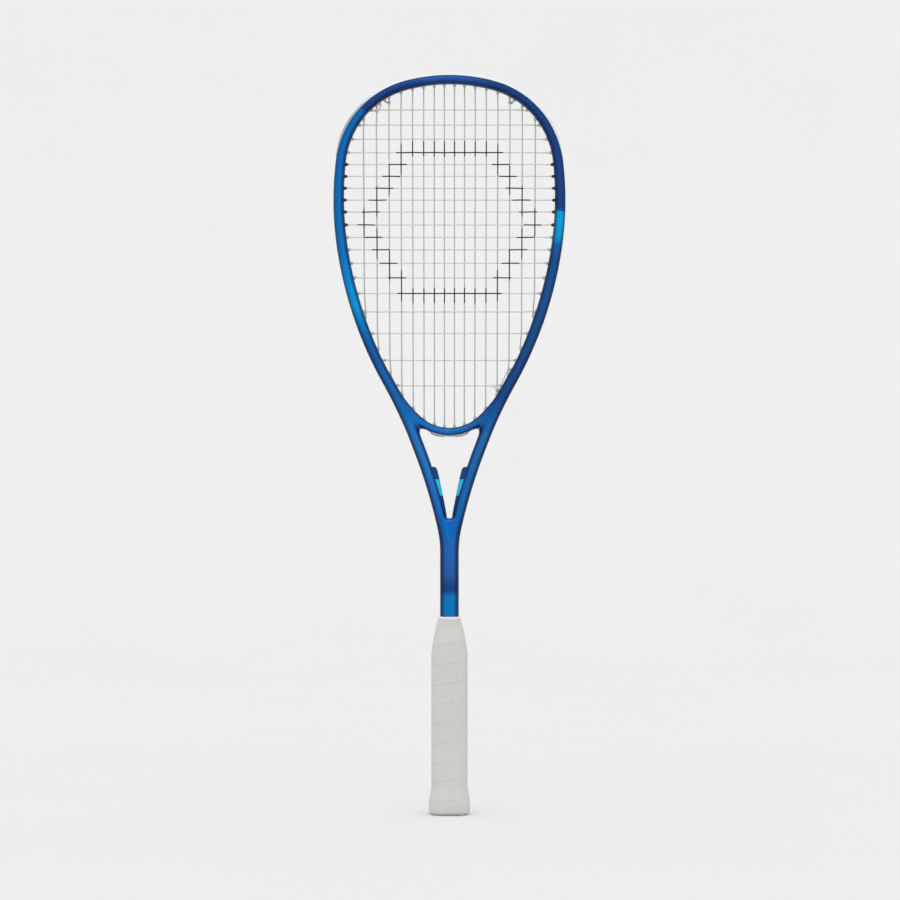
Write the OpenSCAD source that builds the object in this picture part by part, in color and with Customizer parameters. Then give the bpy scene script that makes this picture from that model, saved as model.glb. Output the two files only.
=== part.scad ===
// Squash racket: a hollow carbon hairpin tube that forms the head, the two throat arms and the
// shaft, with a moulded throat bridge, guards and grommet strips, two woven strings and a
// wrapped handle. Millimetres. Z runs along the racket, the strings lie in the XZ plane, the
// front face looks along -Y and the origin is the centre of the butt end.

/* [Head] */
// Height of the tube's centre line at the top of the head
head_top = 679.4; // [675:0.2:680]
// Width of the frame tube in the plane of the strings
tube_w = 9.5; // [9:0.5:10]
// Depth of the frame tube, front to back
beam = 20; // [18:1:22]
// Wall thickness of the frame tube
wall = 1.1; // [1:0.1:1.4]
// Thickness of the white guard outside the tube
guard_t = 1.85; // [1.2:0.05:1.85]

/* [Throat] */
// Height of the strung opening's lowest point
bow_z = 357.6; // [355:0.2:360]
// Thickness of the throat bridge
bridge_t = 7.1; // [6:0.1:8]
// Depth of the throat bridge, front to back
bridge_d = 17; // [14:1:18]
// Depth of the throat inserts, front to back
insert_d = 14; // [10:1:16]

/* [Strings] */
// Diameter of the string
string_d = 1.2; // [1.1:0.05:1.3]
// Distance from the centre to the first main string
main_first = 4.7; // [4.5:0.1:5]
// Gap between the first two main strings
main_gap = 9.4; // [9:0.1:9.6]
// Amount by which each further gap grows
main_growth = 0.44; // [0.3:0.02:0.5]

/* [Handle] */
// Width of the wrapped handle
grip_w = 33.8; // [32:0.2:35]
// Depth of the wrapped handle
grip_d = 29.4; // [28:0.2:31]
// Width of the flared butt
butt_w = 38.4; // [37:0.2:40]
// Thickness of the grip wrap
wrap_t = 1.8; // [1.4:0.1:2.2]
// Height of the top of the grip
grip_top = 183; // [175:1:190]

/* [Hidden] */

// The centre line of the right half, from the top of the head to the leg: [radius, bend] of each
// arc. A positive bend curves around the strings, a negative one curves the other way.
bends = [[156, 15], [82, 68], [300, 15], [361, 21], [520, -16], [118, -13]];
arc_steps = [3, 15, 4, 5, 5, 4];
hoop_arcs = 4;
all_arcs = len(bends);
leg_foot = 4;

// The bow is the lower end of the strung opening: two arcs each side, [radius, bend].
bow_r1 = 39;
bow_bend1 = 42.5;
bow_r2 = 116;
bow_bend2 = 23.5;

half_w = tube_w / 2;
half_b = beam / 2;
groove_w = 6.6;
groove_d = 2.6;
groove_end = 4.4;
leg_gap = 0.2;
web_w = 1.2;

// Heights of the cross strings, from the top: closest across the middle of the head
cross_z = [
    652, 638, 625, 612.5, 601.5, 590.5, 579.5, 568.5, 557.5, 545.5,
    534, 522.5, 510, 496.5, 482, 465, 445, 420, 396.5
];
mains_per_side = 8;
fan = 0.98;
fan_top_z = 650;
fan_foot_z = 380;
probe_z = 530;
string_sides = 6;
weave = string_d + 0.04;

hole_d = 3.4;
barrel_d = 3.2;
bore_d = 1.9;
tip = 1.8;
strip_base = 0.9;
strip_rim = 2.45;
channel_w = 3.2;
guard_w = 14.6;
loop_t = half_w - groove_d + strip_base + string_d / 2 + 0.05;

// Ends of the strips, as places on the centre line: the arc's number and the share of it passed
guard_end = 1.97;
side_from = 2.01;
side_to = 2.83;
lower_from = 2.87;
lower_to = 4.37;

// Where the strings of mains 2, 3 and 4 leave the junction of head and arm at the foot
foot_exits = [4.335, 4.262, 4.14];

// ---- The centre line ------------------------------------------------------------------------
function sgn(v) = v < 0 ? -1 : 1;
function heading_at(i) = i == 0 ? 0 : heading_at(i - 1) + bends[i - 1][1];
function dir(a) = [sin(a), cos(a)];
function arc_from(i) = i == 0 ? [0, head_top] : arc_from(i - 1)
    + sgn(bends[i - 1][1]) * bends[i - 1][0] * (dir(heading_at(i)) - dir(heading_at(i - 1)));
headings = [for (i = [0 : all_arcs]) heading_at(i)];
starts = [for (i = [0 : all_arcs]) arc_from(i)];
signed_r = [for (b = bends) sgn(b[1]) * b[0]];
centres = [for (i = [0 : all_arcs - 1]) starts[i] - signed_r[i] * dir(headings[i])];
leg_top = starts[all_arcs];

// The outward direction and the point at offset t, at place s; s < 0 is the left half
function heading(s) = s >= all_arcs ? headings[all_arcs]
    : headings[floor(s)] + (s - floor(s)) * bends[floor(s)][1];
function mirror_x(p, s) = s < 0 ? [-p[0], p[1]] : p;
function outward(s) = mirror_x(dir(heading(abs(s))), s);
function at_right(s, t) = s >= all_arcs
    ? [leg_top[0] + t, leg_top[1] - (s - all_arcs) * (leg_top[1] - leg_foot)]
    : centres[floor(s)] + (signed_r[floor(s)] + t) * dir(heading(s));
function at(s, t) = mirror_x(at_right(abs(s), t), s);

half_stations = concat(
    [for (i = [0 : all_arcs - 1], j = [0 : arc_steps[i] - 1]) i + j / arc_steps[i]],
    [all_arcs, all_arcs + 1]
);
function reversed(v) = [for (i = [len(v) - 1 : -1 : 0]) v[i]];
stations = concat([for (s = reversed(half_stations)) if (s > 0) -s], half_stations);
function between(a, b) = concat([a], [for (s = stations) if (s > a + 0.02 && s < b - 0.02) s], [b]);

// Places where a line from p along unit d meets the head's curve at offset t
function roots(p, d, c, r) = let (q = p - c, b = q * d, k = b * b - q * q + r * r)
    k < 0 ? [] : [-b + sqrt(k), -b - sqrt(k)];
function place(i, p) = let (q = p - centres[i], a = atan2(q[0], q[1]))
    i + (a - headings[i]) / bends[i][1];
function head_hits(p, d, t) = [
    for (i = [0 : hoop_arcs - 1], k = roots(p, d, centres[i], signed_r[i] + t))
        let (s = place(i, p + k * d)) if (k > 0 && s >= i && s < i + 1) s
];

// ---- The bow --------------------------------------------------------------------------------
bow_c1 = [0, bow_z + bow_r1];
bow_c2 = bow_c1 + (bow_r1 - bow_r2) * [sin(bow_bend1), -cos(bow_bend1)];
function bow_right(a, t) = a <= bow_bend1
    ? bow_c1 + (bow_r1 + t) * [sin(a), -cos(a)]
    : bow_c2 + (bow_r2 + t) * [sin(a), -cos(a)];
function bow(a, t) = mirror_x(bow_right(abs(a), t), a);
function bow_at_x(x) = x < bow_r1 * sin(bow_bend1) ? asin(x / bow_r1) : asin((x - bow_c2[0]) / bow_r2);
function bow_at_z(z) = acos((bow_c2[1] - z) / bow_r2);

// ---- String holes: [inner point, outer point], all on the right half -------------------------
function main_x(k) = main_first + k * main_gap + main_growth * k * (k - 1) / 2;
function main_x_at(k, z) = main_x(k) * (1 - (1 - fan) * (fan_top_z - z) / (fan_top_z - fan_foot_z));
function head_port(s) = [at(s, -half_w), at(s, half_w - groove_d)];
top_places = [for (k = [0 : mains_per_side - 1])
    head_hits([main_x(k), probe_z], [0, 1], -half_w)[0]];
foot_places = [for (k = [0 : mains_per_side - 1]) k < 2 ? undef : k < 5 ? foot_exits[k - 2]
    : head_hits([main_x(k) * fan, probe_z], [0, -1], -half_w)[0]];
function foot_angle(k) = bow_at_x(main_x(k) * fan);
foot_ports = [for (k = [0 : mains_per_side - 1])
    k < 2 ? [bow(foot_angle(k), 0), bow(foot_angle(k), bridge_t)]
    : k < 5 ? [bow(foot_angle(k), 0), at(foot_exits[k - 2], half_w - groove_d)]
    : head_port(foot_places[k])];
top_ports = [for (s = top_places) head_port(s)];
cross_places = [for (z = cross_z) z > 404 ? head_hits([0, z], [1, 0], -half_w)[0] : 4.07];
cross_ports = [for (i = [0 : len(cross_z) - 1]) cross_z[i] > 404 ? head_port(cross_places[i])
    : [bow(bow_at_z(cross_z[i]), 0), at(cross_places[i], half_w - groove_d)]];

// Extra holes where the string ends come back in to be knotted
main_tie = top_places[5] + 0.045;
cross_tie_top = top_places[6] - 0.045;
cross_tie_foot = 3.94;
tie_y = 1.3;

// ---- Swept solids ---------------------------------------------------------------------------
function side_faces(m, n) = [for (i = [0 : m - 2], j = [0 : n - 1]) each
    let (a = i * n + j, b = i * n + (j + 1) % n) [[a, a + n, b], [b, a + n, b + n]]];
function flat(v) = [for (a = v) each a];

// A closed solid through rings of points, all the same way round
module skin(rings) {
    m = len(rings);
    n = len(rings[0]);
    caps = [[for (j = [0 : n - 1]) j], [for (j = [n - 1 : -1 : 0]) (m - 1) * n + j]];
    polyhedron(flat(rings), concat(side_faces(m, n), caps));
}

// A tube: outer rings and inner rings, joined at both open ends
module hollow_skin(outer, inner) {
    m = len(outer);
    n = len(outer[0]);
    k = m * n;
    walls = side_faces(m, n);
    linings = [for (f = walls) [f[2] + k, f[1] + k, f[0] + k]];
    rims = [for (j = [0 : n - 1]) each let (b = (j + 1) % n, e = (m - 1) * n)
        [[j, b, j + k], [j + k, b, b + k], [e + b, e + j, e + j + k], [e + b + k, e + b, e + j + k]]];
    polyhedron(concat(flat(outer), flat(inner)), concat(walls, linings, rims));
}

// A profile of [offset, depth] points carried along the centre line
function ring(s, profile) = [for (p = profile) let (q = at(s, p[0])) [q[0], p[1], q[1]]];
function both_ways(half) = concat(half, [for (p = reversed(half)) [p[0], -p[1]]]);
function kept_right(v, s, gap) = abs(s) < hoop_arcs ? v
    : [for (p = v) [s > 0 ? max(p[0], gap) : min(p[0], -gap), p[1], p[2]]];

// A round string along a list of points that never runs along Y
function unit(v) = v / norm(v);
function heading_of(v, i) = unit(v[min(i + 1, len(v) - 1)] - v[max(i - 1, 0)]);
module strand(points, d) {
    skin([for (i = [0 : len(points) - 1])
        let (t = heading_of(points, i), u = unit(cross(t, [0, 1, 0])), w = cross(u, t))
        [for (j = [0 : string_sides - 1])
            let (a = j * 360 / string_sides) points[i] + d / 2 * (cos(a) * u - sin(a) * w)]]);
}

// A rod from p to q, both in the plane of the strings, lengthened by before and after
module rod(p, q, d, before, after, y = 0) {
    v = q - p;
    translate([p[0], y, p[1]])
        rotate([0, atan2(v[0], v[1]), 0])
            translate([0, 0, -before])
                cylinder(d = d, h = norm(v) + before + after, $fn = 48);
}

module mirrored() {
    children();
    mirror([1, 0, 0]) children();
}

// ---- Frame ----------------------------------------------------------------------------------
function groove_at(s) = abs(s) < groove_end ? groove_d : 0.02;
function tube_outline(g) = both_ways([
    [-half_w, 0.52 * half_b], [-0.82 * half_w, 0.8 * half_b], [-0.45 * half_w, 0.95 * half_b],
    [0, half_b], [0.45 * half_w, 0.95 * half_b], [0.82 * half_w, 0.8 * half_b],
    [half_w, 0.56 * half_b], [half_w, groove_w / 2], [half_w - g, groove_w / 2 - 0.4]
]);
// The hollow has as many points as the outline, so the two join at the open ends of the legs
function hollow_outline(g) = let (a = -half_w + wall, b = half_w - g - wall, c = 0.95 * half_b - wall)
    both_ways([
        [a, 0.46 * half_b], [a + 0.3, 0.68 * half_b], [a + 1.2, c], [a + 1.9, c + 0.2],
        [b - 1.8, c + 0.2], [b - 0.9, c], [b - 0.2, 0.66 * half_b], [b, 0.4 * half_b],
        [b, 0.15 * half_b]
    ]);

module all_holes() {
    mirrored() {
        for (p = concat(top_ports, foot_ports, cross_ports))
            rod(p[0], p[1], hole_d, 6, 6);
        rod(at(main_tie, -half_w), at(main_tie, half_w), hole_d, 6, 6);
    }
    rod(at(-cross_tie_top, -half_w), at(-cross_tie_top, half_w), hole_d, 6, 6);
    rod(at(cross_tie_foot, -half_w), at(cross_tie_foot, half_w), hole_d, 6, 6);
}

module frame_tube() {
    color("royalblue")
        difference() {
            union() {
                hollow_skin(
                    [for (s = stations) kept_right(ring(s, tube_outline(groove_at(s))), s, leg_gap)],
                    [for (s = stations)
                        kept_right(ring(s, hollow_outline(groove_at(s))), s, leg_gap + wall)]
                );
                translate([-web_w / 2, -0.6 * half_b, leg_foot + 1])
                    cube([web_w, 1.2 * half_b, leg_top[1] + 20 - leg_foot]);
            }
            all_holes();
        }
}

// The bridge fills the wedge between the bow and the inner faces of head and arms
bridge_from = 38;
wedge_top = 3.9;
wedge_foot = 4.3;
function bridge_side() = concat(
    [for (a = [0 : 6.6 : 66]) bow(a, 0)],
    [for (s = [wedge_top : 0.1 : wedge_foot + 0.01]) at(s, -half_w - 0.02)],
    [bow(bridge_from + 2, bridge_t + 0.9)],
    [for (a = [bridge_from : -6.3 : 0]) bow(a, bridge_t)]
);
module throat_bridge() {
    right = bridge_side();
    left = [for (p = reversed(right)) [-p[0], p[1]]];
    color("mediumblue")
        difference() {
            rotate([90, 0, 0])
                linear_extrude(bridge_d, center = true)
                    polygon(concat(right, left));
            mirrored()
                for (p = foot_ports)
                    rod(p[0], p[1], hole_d, 6, 6);
            mirrored()
                rod(cross_ports[18][0], cross_ports[18][1], hole_d, 6, 6);
        }
}

// A fin bonded inside each arm: a stepped top, then a taper down to the crotch
insert_top = 4.57;
insert_foot = 4.925;
insert_face = [
    [2.2, 272.8], [2.2, 276.5], [4.2, 287], [6.5, 298.5], [8.9, 310], [11.6, 319.6], [13.4, 321.6]
];
function insert_back() = [for (s = [insert_top : 0.071 : insert_foot + 0.001]) at(s, -half_w - 0.02)];
module throat_insert() {
    rotate([90, 0, 0])
        linear_extrude(insert_d, center = true)
            polygon(concat(insert_face, insert_back()));
}
module throat_insert_left() {
    color("deepskyblue") mirror([1, 0, 0]) throat_insert();
}
module throat_insert_right() {
    color("deepskyblue") throat_insert();
}

// ---- Guards and grommets --------------------------------------------------------------------
groove_foot = half_w - groove_d;

// A flat-sided band along the centre line, between offsets t0 and t1
module band(stops, t0, t1, depth) {
    rotate([90, 0, 0])
        linear_extrude(depth, center = true)
            polygon(concat([for (s = stops) at(s, t0)], [for (s = reversed(stops)) at(s, t1)]));
}

module barrels(ports) {
    for (p = ports)
        rod(p[0], p[1], barrel_d, tip, 0.5);
}
module bores(ports) {
    for (p = ports)
        rod(p[0], p[1], bore_d, tip + 1, 3);
}
function ports_between(a, b) = concat(
    [for (i = [0 : mains_per_side - 1]) if (top_places[i] > a && top_places[i] < b) top_ports[i]],
    [for (i = [2 : mains_per_side - 1]) if (foot_places[i] > a && foot_places[i] < b) foot_ports[i]],
    [for (i = [0 : len(cross_z) - 1]) if (cross_places[i] > a && cross_places[i] < b) cross_ports[i]]
);
function tie_port(s) = [at(s, -half_w), at(s, half_w - groove_d)];

module bumper_guard() {
    ports = ports_between(-1, guard_end);
    stops = between(-guard_end, guard_end);
    color("whitesmoke")
        difference() {
            union() {
                band(stops, groove_foot + 0.05, half_w + 0.3, groove_w - 0.2);
                band(stops, half_w + 0.05, half_w + guard_t, guard_w);
                mirrored()
                    barrels(concat(ports, [tie_port(main_tie)]));
                barrels([tie_port(-cross_tie_top)]);
            }
            band(
                between(-guard_end - 0.01, guard_end + 0.01), groove_foot + strip_base, half_w + 4, channel_w
            );
            mirrored()
                bores(concat(ports, [tie_port(main_tie)]));
            bores([tie_port(-cross_tie_top)]);
        }
}

module strip(from, to, extra) {
    ports = concat(ports_between(from, to), extra);
    difference() {
        union() {
            band(between(from, to), groove_foot + 0.05, groove_foot + strip_rim, groove_w - 1);
            barrels(ports);
        }
        band(between(from - 0.01, to + 0.01), groove_foot + strip_base, half_w + 2, channel_w);
        bores(ports);
    }
}
module side_grommets_left() {
    color("dimgray") mirror([1, 0, 0]) strip(side_from, side_to, []);
}
module side_grommets_right() {
    color("dimgray") strip(side_from, side_to, []);
}
module lower_grommets_left() {
    color("lightgray") mirror([1, 0, 0]) strip(lower_from, lower_to, []);
}
module lower_grommets_right() {
    color("lightgray") strip(lower_from, lower_to, [tie_port(cross_tie_foot)]);
}

// A thin saddle under the bridge, with a barrel for each of the four middle mains
saddle_span = 24;
saddle_t = 1.1;
module throat_grommets() {
    ports = [foot_ports[0], foot_ports[1]];
    saddle = concat(
        [for (a = [-saddle_span : 4 : saddle_span]) bow(a, bridge_t + 0.05)],
        [for (a = [saddle_span : -4 : -saddle_span]) bow(a, bridge_t + saddle_t)]
    );
    color("gainsboro")
        difference() {
            union() {
                rotate([90, 0, 0])
                    linear_extrude(7, center = true)
                        polygon(saddle);
                mirrored()
                    for (p = ports)
                        rod(p[0], p[1], barrel_d, tip, 0.3);
            }
            mirrored()
                bores(ports);
        }
}

// ---- Strings --------------------------------------------------------------------------------
function along(p, q) = unit(q - p);
function before(port, d) = port[0] - d * along(port[0], port[1]);
function bend_point(port) = before(port, tip + 1);
function pt(p, y = 0) = [p[0], y, p[1]];
// The run outside the tube between two holes
function outside_run(a, b, y = 0) = [for (f = [0 : 0.25 : 1]) pt(at(a + f * (b - a), loop_t), y)];
saddle_loop_t = bridge_t + saddle_t + string_d / 2 + 0.05;
function under_bridge(a, b) = [for (f = [0 : 0.25 : 1]) pt(bow(a + f * (b - a), saddle_loop_t))];

function main_up(k) = [pt(bend_point(foot_ports[k])), pt(bend_point(top_ports[k]))];
function main_down(k) = reversed(main_up(k));
function tie_end(s, y) = [pt(at(s, loop_t), y), pt(at(s, -half_w - tip - 1.2))];
main_half = concat(
    [pt(at(0, loop_t))],
    outside_run(top_places[0] * 0.5, top_places[0]),
    main_down(0), under_bridge(foot_angle(0), foot_angle(1)),
    main_up(1), outside_run(top_places[1], top_places[2]),
    main_down(2), outside_run(foot_places[2], foot_places[3]),
    main_up(3), outside_run(top_places[3], top_places[4]),
    main_down(4), outside_run(foot_places[4], foot_places[5]),
    main_up(5), outside_run(top_places[5], top_places[6]),
    main_down(6), outside_run(foot_places[6], foot_places[7]),
    main_up(7), outside_run(top_places[7], main_tie, tie_y), tie_end(main_tie, 0)
);
main_path = concat(
    [for (i = [len(main_half) - 1 : -1 : 1]) let (p = main_half[i]) [-p[0], p[1], p[2]]],
    main_half
);
module main_string() {
    color("silver") strand(main_path, string_d);
}

// Each cross goes over and under the mains in turn; odd rows run left to right
function cross_end(j) = bend_point(cross_ports[j])[0];
function crossed(j) = [for (k = [0 : mains_per_side - 1])
    if (main_x_at(k, cross_z[j]) < cross_end(j) - 1) k];
function row_x(j) = let (ks = crossed(j)) concat(
    [for (k = reversed(ks)) -main_x_at(k, cross_z[j])], [for (k = ks) main_x_at(k, cross_z[j])]);
function over_under(j, i) = (i + j + len(crossed(j))) % 2 == 0 ? weave : -weave;
function row(j) = let (xs = row_x(j), e = bend_point(cross_ports[j])) concat(
    [[-e[0], 0, e[1]]],
    [for (i = [0 : len(xs) - 1]) [xs[i], over_under(j, i), cross_z[j]]],
    [[e[0], 0, e[1]]]
);
function row_way(j) = j % 2 == 0 ? row(j) : reversed(row(j));
function turn(j) = let (side = j % 2 == 0 ? 1 : -1)
    outside_run(side * cross_places[j], side * cross_places[j + 1]);
last = len(cross_z) - 1;
cross_path = concat(
    reversed(tie_end(-cross_tie_top, -tie_y)),
    outside_run(-cross_tie_top, -cross_places[0], -tie_y),
    [for (j = [0 : last - 1]) each concat(row_way(j), turn(j))],
    row_way(last),
    outside_run(cross_places[last], cross_tie_foot, -tie_y),
    tie_end(cross_tie_foot, -tie_y)
);
module cross_string() {
    color("ivory") strand(cross_path, string_d);
}

// A hitch round a main string, with two cut tails
module knot(x, z, tails) {
    color("ivory")
        translate([x, 0, z]) {
            for (dz = [-0.5, 0.5] * string_d)
                translate([0, 0, dz])
                    rotate_extrude($fn = 32)
                        translate([string_d + 0.15, 0])
                            circle(d = string_d * 1.02, $fn = 16);
            for (t = tails)
                rotate([0, t, 0])
                    translate([0, -string_d - 0.1, 0])
                        cylinder(d = string_d * 0.95, h = 5.5, $fn = 24);
        }
}
knot_drop = 6.5;
function main_knot_z() = top_ports[5][0][1] - knot_drop;
module main_knot_left() {
    knot(-main_x_at(5, main_knot_z()), main_knot_z(), [160, -160]);
}
module main_knot_right() {
    knot(main_x_at(5, main_knot_z()), main_knot_z(), [160, -160]);
}
function cross_knot_z() = top_ports[6][0][1] - knot_drop;
module cross_knot_top() {
    knot(-main_x_at(6, cross_knot_z()), cross_knot_z() + 1, [170, -110]);
}
foot_knot_rise = 4.4;
function foot_knot_z() = foot_ports[4][0][1] + foot_knot_rise;
module cross_knot_bottom() {
    knot(main_x_at(4, foot_knot_z()), foot_knot_z(), [-68, 164]);
}

// ---- Handle ---------------------------------------------------------------------------------
// Half width and half depth of the wrapped handle at height z
function ramp(z, a, b) = min(1, max(0, (z - a) / (b - a)));
function smooth(u) = u * u * (3 - 2 * u);
taper_from = 148;
neck_w = 9.7;
neck_d = 11.8;
function handle_half(z) = let (
    top = ramp(z, taper_from, grip_top),
    shut = top * (0.45 + 0.55 * top),
    flare = smooth(ramp(z, 27, 9)) * (1 - 0.5 * pow(ramp(z, 8, 0), 3)))
    [(grip_w / 2) * (1 - shut) + neck_w * shut + flare * (butt_w - grip_w) / 2,
     (grip_d / 2) * (1 - shut) + neck_d * shut + flare * (butt_w - grip_w) / 2];

handle_points = 28;
handle_power = 0.6;
function rounded_wave(c) = sgn(c) * pow(abs(c), handle_power);
function rounded(h, z) = [for (j = [0 : handle_points - 1])
    let (a = (j + 0.5) * 360 / handle_points)
    [h[0] * rounded_wave(cos(a)), h[1] * rounded_wave(sin(a)), z]];
function inset(h, t) = [h[0] - t, h[1] - t];
wrap_heights = [2.2, 5, 8, 12, 17, 22, 27, 60, 100, taper_from, 156, 164, 172, 178, grip_top];
core_heights = [leg_foot, 40, 80, 120, taper_from, 156, 164, 172, 178];
core_taper = wrap_t + 0.02;

module shaft_outline() {
    intersection() {
        square([2 * (leg_top[0] + half_w) + 0.1, beam + 0.1], center = true);
        union() {
            square([2 * (leg_top[0] + half_w) - 6, beam + 0.1], center = true);
            square([2 * (leg_top[0] + half_w) + 0.1, beam - 6.4], center = true);
            for (x = [-1, 1], y = [-1, 1])
                translate([x * (leg_top[0] + half_w - 3.15), y * (half_b - 3.15)])
                    circle(r = 3.2, $fn = 48);
        }
    }
}
function core_half(z) = inset(handle_half(max(z, 28)), core_taper);
module handle_core() {
    difference() {
        skin([for (z = core_heights) rounded(core_half(z), z)]);
        translate([0, 0, leg_foot - 1])
            linear_extrude(grip_top)
                shaft_outline();
        staples();
    }
}
module handle_pallet_front() {
    color("burlywood")
        intersection() {
            handle_core();
            translate([-30, -30, 0]) cube([60, 30, 200]);
        }
}
module handle_pallet_back() {
    color("tan")
        intersection() {
            handle_core();
            translate([-30, 0, 0]) cube([60, 30, 200]);
        }
}

// Foam plugs that close the open ends of the two legs
module tube_end_plugs() {
    color("khaki")
        mirrored()
            translate([leg_gap + wall + 0.1, -6, leg_foot + 1])
                cube([4.2, 12, 20]);
}

// A cup over the end of the handle, domed underneath
cap_top = 24;
cap_heights = [2.15, 5, 8, 12, 17, cap_top];
module butt_cap() {
    color("gainsboro")
        difference() {
            skin(concat(
                [rounded(inset(handle_half(0), 3.4), 0), rounded(inset(handle_half(1), 1.3), 0.9)],
                [rounded(inset(handle_half(2), 0.7), 2.1)],
                [for (z = cap_heights) rounded(inset(handle_half(z), core_taper), z)]
            ));
            skin([for (z = [leg_foot - 0.05, cap_top + 2]) rounded([for (v = core_half(z)) v + 0.03], z)]);
            staples();
        }
}

// Wire staples, a crown and two legs, driven in from each side
staple_wire = 0.7;
staple_w = 9;
module staple(depth) {
    translate([-staple_wire, -staple_w / 2, -staple_wire / 2])
        cube([staple_wire, staple_w, staple_wire]);
    for (y = [-staple_w / 2, staple_w / 2 - staple_wire])
        translate([-depth, y, -staple_wire / 2])
            cube([depth, staple_wire, staple_wire]);
}
cap_staple_z = 17;
wrap_staple_z = 34;
module cap_staple_pair() {
    mirrored()
        translate([handle_half(cap_staple_z)[0] - core_taper - 0.25, 0, cap_staple_z])
            staple(6);
}
module wrap_staple() {
    translate([core_half(wrap_staple_z)[0] - 0.15, 0, wrap_staple_z])
        staple(5);
}
module staples() {
    cap_staple_pair();
    wrap_staple();
}
module butt_cap_staples() {
    color("silver") cap_staple_pair();
}
module grip_staple() {
    color("silver") wrap_staple();
}

module grip_wrap() {
    color("ghostwhite")
        hollow_skin(
            [for (z = wrap_heights) rounded(handle_half(z), z)],
            [for (z = wrap_heights) rounded(inset(handle_half(z), wrap_t), z)]
        );
}

// A turn of tape that closes the top of the wrap
tape_h = 3;
tape_t = 0.25;
module grip_finishing_tape() {
    zs = [grip_top - tape_h, grip_top];
    color("white")
        hollow_skin(
            [for (z = zs) rounded([for (v = handle_half(z)) v + 0.02 + tape_t], z)],
            [for (z = zs) rounded([for (v = handle_half(z)) v + 0.02], z)]
        );
}

frame_tube();
throat_bridge();
throat_insert_left();
throat_insert_right();
bumper_guard();
side_grommets_left();
side_grommets_right();
lower_grommets_left();
lower_grommets_right();
throat_grommets();
main_string();
cross_string();
main_knot_left();
main_knot_right();
cross_knot_top();
cross_knot_bottom();
handle_pallet_front();
handle_pallet_back();
tube_end_plugs();
butt_cap();
butt_cap_staples();
grip_wrap();
grip_staple();
grip_finishing_tape();
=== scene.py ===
"""Visual model of the squash racket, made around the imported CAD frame.

Lengths are millimetres until a mesh is made; the stage, the lights and the camera are in metres.
Z runs along the racket, the strings lie in the XZ plane, and the front face looks along -Y.
"""

import math

import bpy
import numpy as np
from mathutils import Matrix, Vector


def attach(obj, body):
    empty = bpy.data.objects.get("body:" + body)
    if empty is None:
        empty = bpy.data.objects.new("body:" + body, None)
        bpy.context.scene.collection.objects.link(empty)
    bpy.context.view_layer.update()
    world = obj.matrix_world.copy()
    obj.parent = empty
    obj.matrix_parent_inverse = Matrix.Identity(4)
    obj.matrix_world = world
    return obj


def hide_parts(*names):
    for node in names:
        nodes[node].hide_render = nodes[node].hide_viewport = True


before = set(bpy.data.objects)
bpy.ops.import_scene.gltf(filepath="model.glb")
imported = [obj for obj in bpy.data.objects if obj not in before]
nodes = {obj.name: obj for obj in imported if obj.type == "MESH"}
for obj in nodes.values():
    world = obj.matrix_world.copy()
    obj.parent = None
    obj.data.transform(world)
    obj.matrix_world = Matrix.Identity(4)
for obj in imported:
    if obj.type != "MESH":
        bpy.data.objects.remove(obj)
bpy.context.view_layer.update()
MM = 0.001
SIDES = ((-1, "left"), (1, "right"))

# ---- Driving dimensions, the same as in the CAD source ----
HEAD_TOP = 679.4
TUBE_HALF_W = 4.75
TUBE_HALF_D = 10.0
BENDS = [(156, 15), (82, 68), (300, 15), (361, 21), (520, -16), (118, -13)]
HOOP_ARCS = 4
LEG_FOOT = 4.0
BOW_Z = 357.6
BOW_R1, BOW_BEND1 = 39.0, 42.5
BOW_R2, BOW_SPAN = 116.0, 66.0
BRIDGE_T = 7.1
BRIDGE_HALF_D = 8.6
STRING_D = 1.2
CROSS_Z = [
    652, 638, 625, 612.5, 601.5, 590.5, 579.5, 568.5, 557.5, 545.5,
    534, 522.5, 510, 496.5, 482, 465, 445, 420, 396.5,
]
MAINS = 8
LOWEST_HOOP_CROSS = 404
FOOT_EXITS = [4.335, 4.262, 4.14]
CROSS_EXIT = 4.07
GUARD_END = 1.97
SIDE_ENDS = (2.01, 2.83)
LOWER_ENDS = (2.87, 4.37)
GRIP_TOP = 183.0
GRIP_W, GRIP_D, BUTT_W = 33.8, 29.4, 38.4
NECK_W, NECK_D = 9.7, 11.8
TAPER_FROM = 148.0
GUARD_T = 1.85


# ---- Numbers and curves ----
def rise(v, a, b):
    """0 before a, 1 after b, and a smooth step between."""
    u = np.clip((v - a) / (b - a), 0, 1)
    return u * u * (3 - 2 * u)


def compass(angle):
    """The direction at an angle in degrees, turned from straight up towards +X."""
    return np.array([math.sin(math.radians(angle)), math.cos(math.radians(angle))])


headings = [0.0]
starts = [np.array([0.0, HEAD_TOP])]
centres = []
signed_r = []
for radius, bend in BENDS:
    turned = math.copysign(radius, bend)
    centres.append(starts[-1] - turned * compass(headings[-1]))
    headings.append(headings[-1] + bend)
    starts.append(centres[-1] + turned * compass(headings[-1]))
    signed_r.append(turned)
LEG_TOP = starts[-1]
ALL_ARCS = len(BENDS)
LENGTHS = [radius * math.radians(abs(bend)) for radius, bend in BENDS] + [LEG_TOP[1] - LEG_FOOT]


def at(s, t):
    """The point at place s on the centre line, t outwards of it. The left half has s below 0."""
    i = min(int(abs(s)), ALL_ARCS)
    if i == ALL_ARCS:
        p = np.array([LEG_TOP[0] + t, LEG_TOP[1] - (abs(s) - i) * (LEG_TOP[1] - LEG_FOOT)])
    else:
        angle = headings[i] + (abs(s) - i) * BENDS[i][1]
        p = centres[i] + (signed_r[i] + t) * compass(angle)
    return p * (-1 if s < 0 else 1, 1)


def places(a, b, step):
    """Places from a to b, about step apart."""
    stops = [a]
    while True:
        share = step / LENGTHS[min(int(abs(stops[-1] + 1e-6)), ALL_ARCS)]
        s = stops[-1] + share
        if s > b - 0.4 * share:
            return stops + [b]
        stops.append(s)


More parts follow.
